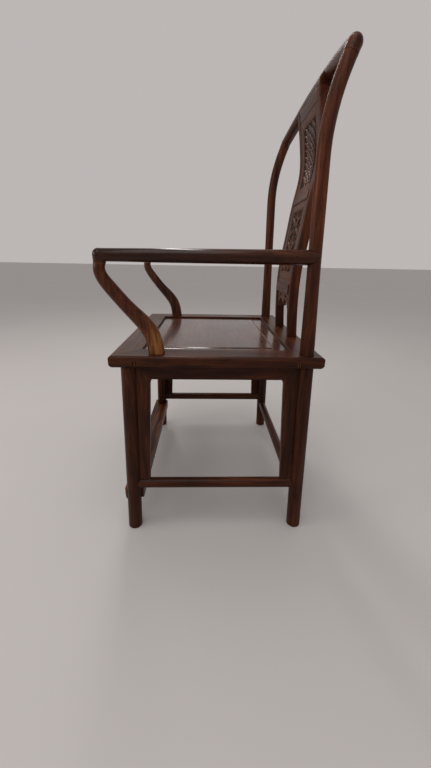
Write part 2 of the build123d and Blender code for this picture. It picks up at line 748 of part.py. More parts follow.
with BuildPart() as arm_post:
    stations = [(arm_post_line @ at, arm_post_line % at, radius) for at, radius in arm_post_radii]
    add(round_bar(stations))
    split(bisect_by=Plane.XY.offset(seat_height), keep=Keep.TOP)
    add(arm_post_tenon_rod(0))
    add(arm_post_top_tenon(0))
save_pair(arm_post.part, "arm_post")

with BuildPart() as crest_rail:
    add(crest_body(0))
    with Locations(crest_end):
        Sphere(crest_end_radius + elbow_swell)
    add(rod(crest_joint, crest_end, crest_end_radius))
    mirror(about=Plane.YZ)
    add(post_tenon(fit), mode=Mode.SUBTRACT)
    add(mirrored(post_tenon(fit)), mode=Mode.SUBTRACT)
    add(stile_top_tenon(fit), mode=Mode.SUBTRACT)
    add(mirrored(stile_top_tenon(fit)), mode=Mode.SUBTRACT)
save(crest_rail.part, "crest_rail")

# ---- Footrest and stretchers --------------------------------------------------------------------

with BuildPart() as footrest:
    with BuildSketch(Plane.YZ) as footrest_section:
        with Locations((footrest_axis.Y, footrest_under)):
            Rectangle(2 * footrest_reach, footrest_thick, align=(Align.CENTER, Align.MIN))
        front_top, inner_top = footrest_section.vertices().group_by(Axis.Y)[-1].sort_by(Axis.X)
        front_low, inner_low = footrest_section.vertices().group_by(Axis.Y)[0].sort_by(Axis.X)
        fillet([front_low], 12)
        fillet([front_top, inner_low], 10)
        fillet([inner_top], 4)
    half_length = footrest_axis.X + footrest_lap
    extrude(amount=half_length, both=True)
    with BuildSketch(Plane.XY.offset(footrest_under - 1)):
        front_y = footrest_axis.Y - footrest_reach
        with Locations((0, front_y)):
            Rectangle(2 * half_length, leg_radius + 24, align=(Align.CENTER, Align.MIN))
        fillet(vertices().group_by(Axis.Y)[0], 12)
        with Locations((0, footrest_axis.Y)):
            Rectangle(
                2 * (footrest_axis.X - 2), 2 * footrest_reach,
                align=(Align.CENTER, Align.MIN),
            )
        with Locations((footrest_axis.X + 20, footrest_axis.Y), (-footrest_axis.X - 20, footrest_axis.Y)):
            Rectangle(44, 60, align=(Align.CENTER, Align.MIN), mode=Mode.SUBTRACT)
    extrude(amount=footrest_thick + 2, mode=Mode.INTERSECT)
    for bore in (leg_bore(False, leg_radius + fit), mirrored(leg_bore(False, leg_radius + fit))):
        add(bore, mode=Mode.SUBTRACT)
    add(footrest_tenons(0))
save(footrest.part, "footrest")

with BuildPart() as footrest_apron:
    low = footrest_under - footrest_apron_height
    add(plain_apron(front_plane, cross_leg_x, low, footrest_under - fit, 0, False))
save(footrest_apron.part, "footrest_apron")

with BuildPart() as side_stretcher:
    add(rod(*side_stretcher_ends, side_stretcher_radius))
    add(leg_bore(False, leg_radius + fit), mode=Mode.SUBTRACT)
    add(leg_bore(True, leg_radius + fit), mode=Mode.SUBTRACT)
    add(stretcher_tenons(side_stretcher_ends, 0))
save_pair(side_stretcher.part, "side_stretcher")

with BuildPart() as back_stretcher:
    add(rod(*back_stretcher_ends, back_stretcher_radius))
    add(leg_bore(True, leg_radius + fit), mode=Mode.SUBTRACT)
    add(mirrored(leg_bore(True, leg_radius + fit)), mode=Mode.SUBTRACT)
    add(stretcher_tenons(back_stretcher_ends, 0))
save(back_stretcher.part, "back_stretcher")

# ---- Aprons and boards under the seat -----------------------------------------------------------

side_low = side_stretcher_height
side_zones = mitre_zones(side_leg_x, side_low, side_opening)
side_names = ("side_apron", "side_board_front", "side_board_back")
for zone, name in zip(side_zones, side_names):
    with BuildPart() as side_piece:
        add(surround_piece(side_plane, side_leg_x, side_low, side_opening, zone))
        add(rod(*side_stretcher_ends, side_stretcher_radius + fit), mode=Mode.SUBTRACT)
    save_pair(side_piece.part, name)

front_zones = mitre_zones(cross_leg_x, footrest_top, front_opening)
front_names = ("front_apron", "front_board_right", "front_board_left")
for zone, name in zip(front_zones, front_names):
    with BuildPart() as front_piece:
        add(surround_piece(front_plane, cross_leg_x, footrest_top, front_opening, zone))
    save(front_piece.part, name)

with BuildPart() as back_apron:
    add(plain_apron(back_plane, cross_leg_x, apron_under, frame_under, rail_tongue, True))
save(back_apron.part, "back_apron")

# ---- Splat --------------------------------------------------------------------------------------

crosspiece_half = stile_inner - 0.1
crosspieces = (lower_divider, upper_divider, top_rail)
middle_panel = (lower_divider[1], upper_divider[0])
upper_panel = (upper_divider[1], top_rail[0])

with BuildPart() as splat_stile:
    add(splat_slab(0, stile_depth, seat_height - 1, stile_high, splat_half))
    with Locations((0, splat_middle_y, stile_high / 2)):
        Box(2 * stile_inner, splat_cut_depth, 2 * stile_high, mode=Mode.SUBTRACT)
    split(bisect_by=Plane.YZ, keep=Keep.TOP)
    split(bisect_by=Plane.XY.offset(seat_height), keep=Keep.TOP)
    long_edges = splat_stile.edges().filter_by(lambda edge: edge.length > 300)
    fillet(long_edges.group_by(Axis.Y)[0], stile_round)
    split(bisect_by=headrest_seat, keep=Keep.BOTTOM)
    for low, high in crosspieces:
        add(crosspiece_tenons(low, high, fit), mode=Mode.SUBTRACT)
    for low, high in (middle_panel, upper_panel, apron_tongue):
        add(panel_tongues(low, high, fit), mode=Mode.SUBTRACT)
    add(stile_tenon_bar(0))
    add(stile_top_tenon(0))
save_pair(splat_stile.part, "splat_stile")

with BuildPart() as splat_top_rail:
    low, high = crosspieces[2]
    add(splat_slab(1, stile_depth - 1, low, pillow_under, crosspiece_half))
    add(crosspiece_tenons(low, high, 0))
    add(panel_tongues(*upper_panel, fit), mode=Mode.SUBTRACT)
    add(crest_body(fit), mode=Mode.SUBTRACT)
save(splat_top_rail.part, "splat_top_rail")

with BuildPart() as splat_upper_divider:
    low, high = upper_divider
    add(splat_slab(-divider_proud, stile_depth - 1, low, high, crosspiece_half))
    front_edges = splat_upper_divider.edges().filter_by(Axis.X).group_by(Axis.Y)[0]
    fillet(front_edges, divider_round)
    add(crosspiece_tenons(low, high, 0))
    for panel in (middle_panel, upper_panel):
        add(panel_tongues(*panel, fit), mode=Mode.SUBTRACT)
save(splat_upper_divider.part, "splat_upper_divider")

with BuildPart() as splat_lower_divider:
    low, high = lower_divider
    proud, nose_half = divider_nose
    add(splat_slab(-proud, -0.1, low + 2, high - 12, nose_half))
    nose_ends = splat_lower_divider.edges().filter_by(Axis.X, reverse=True)
    fillet(nose_ends.group_by(Axis.Y)[0], proud - 0.8)
    add(splat_slab(1, stile_depth - 1, low, high, crosspiece_half))
    add(splat_slab(-1, 2, low + 2, high - 12, crosspiece_half))
    add(crosspiece_tenons(low, high, 0))
    for panel in (middle_panel, apron_tongue):
        add(panel_tongues(*panel, fit), mode=Mode.SUBTRACT)
save(splat_lower_divider.part, "splat_lower_divider")

for (low, high), name in ((middle_panel, "splat_middle_panel"), (upper_panel, "splat_upper_panel")):
    with BuildPart() as splat_panel:
        add(splat_slab(panel_front, panel_front + panel_thick, low + 0.1, high - 0.1, crosspiece_half))
        add(panel_tongues(low, high, 0))
    save(splat_panel.part, name)

with BuildPart() as splat_apron:
    low, high = carved_apron_low, lower_divider[0]
    add(splat_slab(panel_front + 2, panel_front + panel_thick - 2, low, high - 0.1, crosspiece_half))
    add(panel_tongues(*apron_tongue, 0))
    split(bisect_by=Plane.XY.offset(low), keep=Keep.TOP)
    with BuildSketch(Plane.XZ.offset(-apron_middle_y)):
        with BuildLine():
            for side in (1, -1):
                outer = (side * (stile_inner - 12), low + 1)
                cusp = (side * 44, low + 19)
                inner = (side * 15, low + 22)
                tip = (0, low + 8)
                Spline(outer, cusp, tangents=[(-side * 0.2, 1), (-side, 0.4)])
                Spline(cusp, inner, tangents=[(-side * 0.3, 1), (-side * 0.3, -1)])
                Spline(inner, tip, tangents=[(-side, 0.3), (0, -1)])
                Line(outer, (outer[0], low - 5))
            Line((stile_inner - 12, low - 5), (12 - stile_inner, low - 5))
        make_face()
        with Locations((30, high - 9), (-30, high - 9)):
            Ellipse(11, 3.2)
    extrude(amount=60, both=True, mode=Mode.SUBTRACT)
save(splat_apron.part, "splat_apron")
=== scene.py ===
import math

import bpy
import numpy as np
from mathutils import Matrix, Vector


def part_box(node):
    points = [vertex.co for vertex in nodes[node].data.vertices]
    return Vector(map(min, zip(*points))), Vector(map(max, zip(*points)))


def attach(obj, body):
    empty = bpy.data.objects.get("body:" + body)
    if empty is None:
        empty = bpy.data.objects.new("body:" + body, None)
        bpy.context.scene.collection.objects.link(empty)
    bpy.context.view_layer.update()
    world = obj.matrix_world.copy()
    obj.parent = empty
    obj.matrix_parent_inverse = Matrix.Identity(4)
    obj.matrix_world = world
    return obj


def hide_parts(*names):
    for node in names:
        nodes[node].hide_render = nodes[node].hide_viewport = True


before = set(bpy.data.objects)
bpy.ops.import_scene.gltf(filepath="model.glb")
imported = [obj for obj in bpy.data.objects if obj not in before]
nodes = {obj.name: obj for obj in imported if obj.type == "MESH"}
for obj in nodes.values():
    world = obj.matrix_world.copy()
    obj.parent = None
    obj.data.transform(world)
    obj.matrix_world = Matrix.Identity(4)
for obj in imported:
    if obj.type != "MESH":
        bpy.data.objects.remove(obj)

scene = bpy.context.scene
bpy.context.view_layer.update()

# the middle of the seat frame from front to back, which the camera is placed from
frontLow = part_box("seat_front_rail")[0]
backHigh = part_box("seat_back_rail")[1]
seatMid = (frontLow.y + backHigh.y) / 2
print("stage: frame loaded,", len(nodes), "nodes")


def newTree(name):
    # an empty material with one Principled shader
    material = bpy.data.materials.new(name)
    material.use_nodes = True
    tree = material.node_tree
    tree.nodes.clear()
    output = tree.nodes.new("ShaderNodeOutputMaterial")
    shader = tree.nodes.new("ShaderNodeBsdfPrincipled")
    tree.links.new(shader.outputs["BSDF"], output.inputs["Surface"])
    return material, tree, shader


def setSockets(tree, node, **sockets):
    # a socket is named by number, as in0=..., or by its label with underscores for spaces
    for key, value in sockets.items():
        numbered = key[:2] == "in" and key[2:].isdigit()
        socket = node.inputs[int(key[2:]) if numbered else key.replace("_", " ")]
        if isinstance(value, bpy.types.NodeSocket):
            tree.links.new(value, socket)
        elif socket.type == "RGBA":
            socket.default_value = (*value, 1)
        else:
            socket.default_value = value


def addNode(tree, kind, settings=None, **sockets):
    node = tree.nodes.new("ShaderNode" + kind)
    for key, value in (settings or {}).items():
        setattr(node, key, value)
    setSockets(tree, node, **sockets)
    return node


def ramp(tree, factor, stops):
    # a stop is (input, output), and the output is a colour or a grey level
    stops = list(stops)
    node = addNode(tree, "ValToRGB", Fac=factor)
    band = node.color_ramp
    while len(band.elements) < len(stops):
        band.elements.new(0.5)
    for element, (place, colour) in zip(band.elements, stops):
        element.position = place
        element.color = (*colour, 1) if isinstance(colour, tuple) else (colour, colour, colour, 1)
    return node.outputs["Color"]


def times(tree, a, b):
    return addNode(tree, "Math", {"operation": "MULTIPLY", "use_clamp": True}, in0=a, in1=b).outputs[0]


def plus(tree, a, b):
    return addNode(tree, "Math", {"operation": "ADD"}, in0=a, in1=b).outputs[0]


def mix(tree, share, a, b, blend="MIX"):
    settings = {"data_type": "RGBA", "blend_type": blend}
    return addNode(tree, "Mix", settings, in0=share, in6=a, in7=b).outputs[2]


def shade(tree, share, colour, by):
    return mix(tree, share, colour, by, "MULTIPLY")


def noise(tree, place, scale, detail, roughness, distortion=0.0):
    return addNode(tree, "TexNoise", Vector=place, Scale=scale, Detail=detail, Roughness=roughness,
                   Distortion=distortion).outputs["Fac"]


def axisOf(tree, vector, axis):
    return addNode(tree, "SeparateXYZ", Vector=vector).outputs[axis]


def byHeight(tree, place, low, high, atLow, atHigh):
    # eases from one value at the low height to another at the high one
    return addNode(tree, "MapRange", {"interpolation_type": "SMOOTHSTEP"}, Value=axisOf(tree, place, "Z"),
                   From_Min=low, From_Max=high, To_Min=atLow, To_Max=atHigh).outputs[0]


# colours are linear, a noise is its scale per metre, detail, roughness and distortion, and stops are pairs
# of an input and what it gives
hardwood = {
    "deep": (0.0105, 0.0026, 0.0010),
    "body": (0.0350, 0.0088, 0.0031),
    "warm": (0.0860, 0.0240, 0.0074),
    "golden": (0.3000, 0.1250, 0.0330),
    "wornAndHighlight": (0.3200, 0.1150, 0.0320),
    "grey": (0.0900, 0.0560, 0.0420),

    "stretch": 0.055,                       # size of the grain across a member over its size along it
    "wander": 0.022, "wanderScale": 5.0,    # how far and how often the grain strays
    "lines": (105, 5, 0.62, 0.3), "linesShare": 0.55,
    "bands": (21, 3, 0.55, 0.9), "bandsShare": 0.5,
    "grainStops": (0.36, 0.50, 0.68),       # where the grain is deep, body and warm
    "patches": (7.5, 4, 0.6),
    "patchStops": [(0.30, (0.62, 0.60, 0.60)), (0.70, (1.25, 1.22, 1.18))],
    "pores": (520, 2, 0.5), "poreStops": [(0.30, 0.35), (0.42, 1.0)], "poreShare": 0.8,

    "edgeRadius": 0.0035, "edgeSamples": 4,
    "edgeStops": [(0.80, 1.0), (0.985, 0.0)],       # by how far the rounded normal agrees with the true one
    "rubAndHighlightNoise": (60, 3, 0.7), "rubAndHighlightStops": [(0.40, 0.0), (0.62, 1.0)],
    "streaks": (75, 4, 0.68), "streakStops": [(0.44, 0.0), (0.58, 1.0)],
    "scuffs": (38, 4, 0.7), "scuffStops": [(0.45, 0.0), (0.68, 1.0)],
    "upwardStops": [(0.6, 0.0), (0.97, 1.0)],
    "dots": (900, 2, 0.6), "dotStops": [(0.42, 0.25), (0.58, 1.0)], "dotShare": 0.75,
    "wedgeScale": 62.0, "wedgeBend": 0.6, "wedgeStops": (0.02, 0.10),
    "sidewaysStops": [(0.95, 0.0), (0.98, 1.0)],

    # the hollows' painted shade: how far to look, and how dark
    "hollowReach": 0.006, "hollowSamples": 8,
    "hollowStops": (0.25, 0.72, 1.0), "hollowDark": 0.12,
    "groundStops": [(0.10, 0.16), (0.80, 1.15)],

    "rough": (0.26, 0.42), "roughFrom": (0.3, 0.7), "rubbedRough": 0.25,
    "linesRelief": 0.5, "poresRelief": 0.5, "reliefDepth": 0.0012,
    "specular": 0.12,
    "coatRough": 0.12,
}

plainFinish = {
    "along": "Z",           # the axis that the grain follows
    "tone": 1.0,            # brightness of the grain, also painted light: higher on the lit upper parts than on the frame and legs
    "heightShade": None,         # (low, high, gain): painted shade below the seat, paler by gain from the one height to the other
    "tint": 0.0,            # share of grey patina
    "edgeWearAndHighlight": 0.35,           # share of wear and painted highlight on the edges
    "wornZone": None,       # (low, high, strength): golden wear, fading from low to high
    "topWear": 0.0,         # share of wear on upward faces
    "endGrain": 0.0,        # share of end grain on faces to the sides
    "cavity": 0.75,         # share of painted shade in the hollows
    "lift": 0.0,            # painted light: how much paler open faces are
    "cut": 0.0,             # share of painted shade on a carved ground, with painted light on its face
    "gloss": 0.0,           # taken off the roughness
    "bump": 0.06,
    "coat": 0.05,
}

# the crest, arms, goosenecks, seat panel and carving get a higher tone than the frame and legs: painted light
# and shade
finishes = {
    "wood_upright": {"edgeWearAndHighlight": 0.12},
    "wood_back_post": {"edgeWearAndHighlight": 0.12, "tone": 0.95, "gloss": -0.12, "heightShade": (0.42, 0.90, 1.9)},
    "wood_crest": {"along": "X", "edgeWearAndHighlight": 0.15, "tone": 1.5, "coat": 0.10},
    "wood_crosswise": {"along": "X", "edgeWearAndHighlight": 0.15, "topWear": 0.10},
    "wood_long_rail": {"along": "X", "edgeWearAndHighlight": 0.2, "topWear": 0.10, "endGrain": 0.85},
    "wood_lengthwise": {"along": "Y", "edgeWearAndHighlight": 0.2, "topWear": 0.08},
    "wood_arm": {"along": "Y", "edgeWearAndHighlight": 0.15, "topWear": 0.12, "gloss": 0.12, "coat": 0.24, "tone": 1.1},
    "wood_gooseneck": {"edgeWearAndHighlight": 0.3, "tone": 1.5, "coat": 0.12},
    "wood_gooseneck_rubbed": {"edgeWearAndHighlight": 0.5, "tone": 1.7, "coat": 0.12, "wornZone": (0.505, 0.60, 0.9)},
    "wood_footrest": {"along": "X", "edgeWearAndHighlight": 0.8, "topWear": 0.75},
    "wood_seat_panel": {"along": "X", "tone": 1.5, "tint": 0.10, "edgeWearAndHighlight": 0.7, "cavity": 0.9,
                        "gloss": 0.05, "bump": 0.006, "coat": 0.7},
    "wood_carved": {"tone": 1.5, "tint": 0.30, "edgeWearAndHighlight": 0.45, "cavity": 1.0, "gloss": -0.12, "lift": 0.30},
    "wood_carved_panel": {"tone": 1.5, "tint": 0.30, "edgeWearAndHighlight": 0.45, "gloss": -0.12, "lift": 0.30, "cut": 0.9},
}


def grainPlaces(tree, along):
    # the place itself, and the place shifted by a slow noise and squeezed along the member
    place = addNode(tree, "TexCoord").outputs["Object"]
    drift = addNode(tree, "TexNoise", Vector=place, Scale=hardwood["wanderScale"], Detail=1.0).outputs["Color"]
    shifted = addNode(tree, "VectorMath", {"operation": "MULTIPLY_ADD"},
                      in0=drift, in1=(hardwood["wander"],) * 3, in2=place).outputs[0]
    squeeze = [hardwood["stretch"] if axis == along else 1.0 for axis in "XYZ"]
    return place, addNode(tree, "Mapping", Vector=shifted, Scale=squeeze).outputs[0]


def sawnGrain(tree, place, grainPlace):
    # fine lines plus broad bands pick the colour, which patches and pores then shade
    lines = noise(tree, grainPlace, *hardwood["lines"])
    bands = times(tree, noise(tree, grainPlace, *hardwood["bands"]), hardwood["bandsShare"])
    blend = addNode(tree, "Math", {"operation": "MULTIPLY_ADD", "use_clamp": True},
                    in0=lines, in1=hardwood["linesShare"], in2=bands).outputs[0]
    colours = [hardwood[part] for part in ("deep", "body", "warm")]
    colour = ramp(tree, blend, zip(hardwood["grainStops"], colours))
    patches = noise(tree, place, *hardwood["patches"])
    colour = shade(tree, 1.0, colour, ramp(tree, patches, hardwood["patchStops"]))
    poreShade = ramp(tree, noise(tree, grainPlace, *hardwood["pores"]), hardwood["poreStops"])
    return shade(tree, hardwood["poreShare"], colour, poreShade), lines, patches, poreShade


def rubbedEdgesAndHighlights(tree, grainPlace, straight, soft):
    # edges are where the rounded normal leaves the true one, broken up by a noise; their paler colour is
    # partly wear and partly painted highlight
    agree = addNode(tree, "VectorMath", {"operation": "DOT_PRODUCT"},
                    in0=soft, in1=straight).outputs["Value"]
    patchy = ramp(tree, noise(tree, grainPlace, *hardwood["rubAndHighlightNoise"]), hardwood["rubAndHighlightStops"])
    return times(tree, ramp(tree, agree, hardwood["edgeStops"]), patchy)


def handWear(tree, colour, place, grainPlace, wornZone):
    # hands have worn a stretch in streaks along the grain, most at its low end
    low, high, strength = wornZone
    streaks = ramp(tree, noise(tree, grainPlace, *hardwood["streaks"]), hardwood["streakStops"])
    zone = times(tree, byHeight(tree, place, low, high, 1.0, 0.0), streaks)
    return mix(tree, times(tree, zone, strength), colour, hardwood["golden"])


def topWear(tree, colour, straight, grainPlace, share):
    # feet or hands polish the upward side in scuffs
    upward = ramp(tree, axisOf(tree, straight, "Z"), hardwood["upwardStops"])
    scuffs = ramp(tree, noise(tree, grainPlace, *hardwood["scuffs"]), hardwood["scuffStops"])
    return mix(tree, times(tree, times(tree, upward, scuffs), share), colour, hardwood["wornAndHighlight"])


def tenonEnds(tree, colour, place, straight, share):
    # a through tenon's end is darker, dotted, and split by its wedges
    sideways = addNode(tree, "Math", {"operation": "ABSOLUTE"}, in0=axisOf(tree, straight, "X")).outputs[0]
    dots = ramp(tree, noise(tree, place, *hardwood["dots"]), hardwood["dotStops"])
    wedges = addNode(tree, "TexWave", {"bands_direction": "Y"}, Vector=place,
                     Scale=hardwood["wedgeScale"], Distortion=hardwood["wedgeBend"]).outputs["Fac"]
    split = ramp(tree, wedges, zip(hardwood["wedgeStops"], (hardwood["wornAndHighlight"], hardwood["deep"])))
    marked = shade(tree, hardwood["dotShare"], split, dots)
    ends = ramp(tree, sideways, hardwood["sidewaysStops"])
    return mix(tree, times(tree, ends, share), colour, marked)


def paintedHollowShade(tree, colour, share, lift):
    # painted shade darkens the hollows, and painted light makes open faces paler by lift
    openness = addNode(tree, "AmbientOcclusion", {"samples": hardwood["hollowSamples"]},
                       Distance=hardwood["hollowReach"]).outputs["AO"]
    levels = (hardwood["hollowDark"], 1.0, 1.0 + lift)
    return shade(tree, share, colour, ramp(tree, openness, zip(hardwood["hollowStops"], levels)))


def paintedGroundShade(tree, colour, share):
    # painted shade darkens a carved ground and painted light pales its face a little, by the relief that
    # carvedPanel stores, from 0 there to 1 at the face
    raised = addNode(tree, "Attribute", {"attribute_name": "relief"}).outputs["Fac"]
    return shade(tree, share, colour, ramp(tree, raised, hardwood["groundStops"]))


def makeWood(name, finish):
    material, tree, shader = newTree(name)
    place, grainPlace = grainPlaces(tree, finish["along"])
    straight = addNode(tree, "NewGeometry").outputs["Normal"]
    soft = addNode(tree, "Bevel", {"samples": hardwood["edgeSamples"]},
                   Radius=hardwood["edgeRadius"]).outputs["Normal"]
    edgeRubAndHighlight = rubbedEdgesAndHighlights(tree, grainPlace, straight, soft)

    colour, lines, patches, poreShade = sawnGrain(tree, place, grainPlace)
    # tone brightens the lit upper parts as painted light
    colour = shade(tree, 1.0, colour, (finish["tone"],) * 3)
    if finish["heightShade"]:
        # painted shade: the part below the seat is darker, and the colour grows paler by gain upwards
        low, high, gain = finish["heightShade"]
        colour = shade(tree, 1.0, colour, byHeight(tree, place, low, high, 1.0, gain))
    if finish["tint"]:
        colour = mix(tree, finish["tint"], colour, hardwood["grey"])
    # paler edges: partly wear, partly painted highlight, strongest on the seat panel and the carving
    colour = mix(tree, times(tree, edgeRubAndHighlight, finish["edgeWearAndHighlight"]), colour, hardwood["wornAndHighlight"])
    if finish["wornZone"]:
        colour = handWear(tree, colour, place, grainPlace, finish["wornZone"])
    if finish["topWear"]:
        colour = topWear(tree, colour, straight, grainPlace, finish["topWear"])
    if finish["endGrain"]:
        colour = tenonEnds(tree, colour, place, straight, finish["endGrain"])
    # painted shade in the hollows and painted light on open faces
    colour = paintedHollowShade(tree, colour, finish["cavity"], finish["lift"])
    if finish["cut"]:
        colour = paintedGroundShade(tree, colour, finish["cut"])

    # roughness follows the patches and rises where edges are rubbed
    low, high = hardwood["roughFrom"]
    least, most = [value - finish["gloss"] for value in hardwood["rough"]]
    shine = addNode(tree, "MapRange", Value=patches, From_Min=low, From_Max=high,
                    To_Min=least, To_Max=most).outputs[0]
    roughness = plus(tree, shine, times(tree, edgeRubAndHighlight, hardwood["rubbedRough"]))
    surface = plus(tree, times(tree, lines, hardwood["linesRelief"]),
                   times(tree, poreShade, hardwood["poresRelief"]))
    bump = addNode(tree, "Bump", Height=surface, Strength=finish["bump"], Distance=hardwood["reliefDepth"],
                   Normal=soft).outputs[0]
    setSockets(tree, shader, Base_Color=colour, Roughness=roughness, Normal=bump, Coat_Weight=finish["coat"],
               Coat_Roughness=hardwood["coatRough"], Specular_IOR_Level=hardwood["specular"])
    return material


def bothSides(*stems):
    return [stem + side for stem in stems for side in ("_left", "_right")]


members = {
    "wood_upright": bothSides("front_leg", "side_board_front", "side_board_back", "front_board"),
    "wood_back_post": bothSides("back_post", "splat_stile"),
    "wood_crest": ["crest_rail", "splat_top_rail", "splat_upper_divider", "splat_lower_divider"],
    "wood_long_rail": ["seat_front_rail", "seat_back_rail"],
    "wood_crosswise": ["front_apron", "back_apron", "footrest_apron", "back_stretcher"],
    "wood_lengthwise": bothSides("seat_side_rail", "seat_brace", "side_apron", "side_stretcher"),
    "wood_arm": bothSides("arm"),
    "wood_gooseneck": ["arm_post_right"],
    "wood_gooseneck_rubbed": ["arm_post_left"],
    "wood_footrest": ["footrest"],
    "wood_seat_panel": ["seat_panel"],
    "wood_carved": ["splat_apron"],
}

woods = {name: makeWood(name, {**plainFinish, **own}) for name, own in finishes.items()}
for wood, names in members.items():
    for name in names:
        mesh = nodes[name].data
        mesh.materials.clear()
        mesh.materials.append(woods[wood])
print("stage: wood done")

carving = {
    "spacing": 0.00078,     # between the grid's points
    "thickness": 0.014,
    "tongue": 0.0051,       # how far a panel's tongues reach past its front face at the sides
    "tongueEnd": 0.0049,    # a little less than that at its ends
    "facing": 0.7,          # a face that looks forward by this much is part of the front
    "level": 0.0001,        # points this near in height are one row
    "margin": 0.0165,       # flat border at the sides of the carved field
    "marginEnd": 0.017,     # the same above and below it
    "ground": 0.0036,       # depth of the cut ground
    "wall": 0.0008,         # how far in from its edge the ground reaches that depth
    "bead": 0.0020,         # half width of the moulding inside the border
    "beadInset": 1.2,       # from the border to its middle, in half widths
    "beadHeight": 0.92,
    "steps": 56,            # points along each leaf
    "slow": 0.62,           # how much shorter the last step is than the first
    "taper": 0.55,          # how much narrower the tip is than the root
    "rootWidth": 0.45,      # share of its width that a leaf has at its very root
    "rootGrowth": 9,        # how fast it widens from there
    "crown": 0.35,          # 0.5 is a half round, and less is flatter on top
    "vein": 0.24, "veinWidth": 0.2,                 # depth and width of the line along a leaf
    "barb": 0.14, "pitch": 0.0062, "slant": 0.9,    # depth, spacing and slant of the cuts across it
}


def leafCurve(start, heading, length, bend, curl):
    # the heading is heading + bend s + curl s cubed for s from 0 to 1, in steps that shorten as s squared
    share = np.linspace(0, 1, carving["steps"])
    angle = (heading + bend * share + curl * share ** 3)[:-1]
    pace = (1 - carving["slow"] * share ** 2)[:-1] * length / (carving["steps"] - 1)
    along = start[0] + np.concatenate(([0], np.cumsum(np.cos(angle) * pace)))
    up = start[1] + np.concatenate(([0], np.cumsum(np.sin(angle) * pace)))
    return along, up, share


def addLeaf(height, gridX, gridZ, curve, width):
    # height is (1 - a squared) to the crown's power, a being the distance from the curve over its half width,
    # less slanting waves across it and a narrow bell along its middle
    along, up, share = curve
    grown = np.clip(share * carving["rootGrowth"] + carving["rootWidth"], 0, 1)
    halfWidth = width * (1 - carving["taper"] * share) * grown
    distance = np.hypot(gridX[..., None] - along, gridZ[..., None] - up)
    nearest = np.argmin(distance - halfWidth, axis=-1)
    away = np.take_along_axis(distance, nearest[..., None], -1)[..., 0]
    half = halfWidth[nearest]
    travelled = np.concatenate(([0], np.cumsum(np.hypot(np.diff(along), np.diff(up)))))[nearest]
    across = np.clip(away / half, 0, 1)
    ridge = (1 - across ** 2) ** carving["crown"]
    barbs = 0.5 + 0.5 * np.cos(2 * np.pi * (travelled - carving["slant"] * away) / carving["pitch"])
    vein = np.exp(-(away / (carving["veinWidth"] * half)) ** 2)
    ridge = ridge * (1 - carving["barb"] * barbs * across) - carving["vein"] * vein
    np.maximum(height, np.where(away < half, ridge, 0), out=height)


def meshArray(parts, label, kind, width):
    # one value of every vertex, corner or face, as the rows of an array
    values = np.empty(len(parts) * width, dtype=kind)
    parts.foreach_get(label, values)
    return values.reshape(-1, width)


def frontLine(node):
    # heights and depths of the CAD board's front face, read inside its tongues
    mesh = nodes[node].data
    low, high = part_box(node)
    normals = meshArray(mesh.polygons, "normal", np.float32, 3)
    centres = meshArray(mesh.polygons, "center", np.float32, 3)
    places = meshArray(mesh.vertices, "co", np.float32, 3).astype(float)
    corners = meshArray(mesh.loops, "vertex_index", np.int32, 1).reshape(-1, 3)
    forward = normals[:, 1] < -carving["facing"]
    between = np.abs(centres[:, 0]) < high.x - carving["tongue"]
    depth, rise = places[corners[forward & between]].reshape(-1, 3)[:, 1:].T
    body = (rise > low.z + carving["tongueEnd"]) & (rise < high.z - carving["tongueEnd"])
    depth, rise = depth[body], rise[body]
    heights = np.unique(np.round(rise, 5))
    depths = [depth[np.abs(rise - z) < carving["level"]].min() for z in heights]
    return heights, np.array(depths)


def putPiece(name, vertices, faces, material, *replaced):
    # a smooth mesh that rides on the chair's one body
    mesh = bpy.data.meshes.new(name)
    mesh.from_pydata(vertices, [], faces)
    mesh.update()
    mesh.shade_smooth()
    mesh.materials.append(material)
    piece = bpy.data.objects.new(name, mesh)
    scene.collection.objects.link(piece)
    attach(piece, "root")
    if replaced:
        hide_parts(*replaced)
    return piece


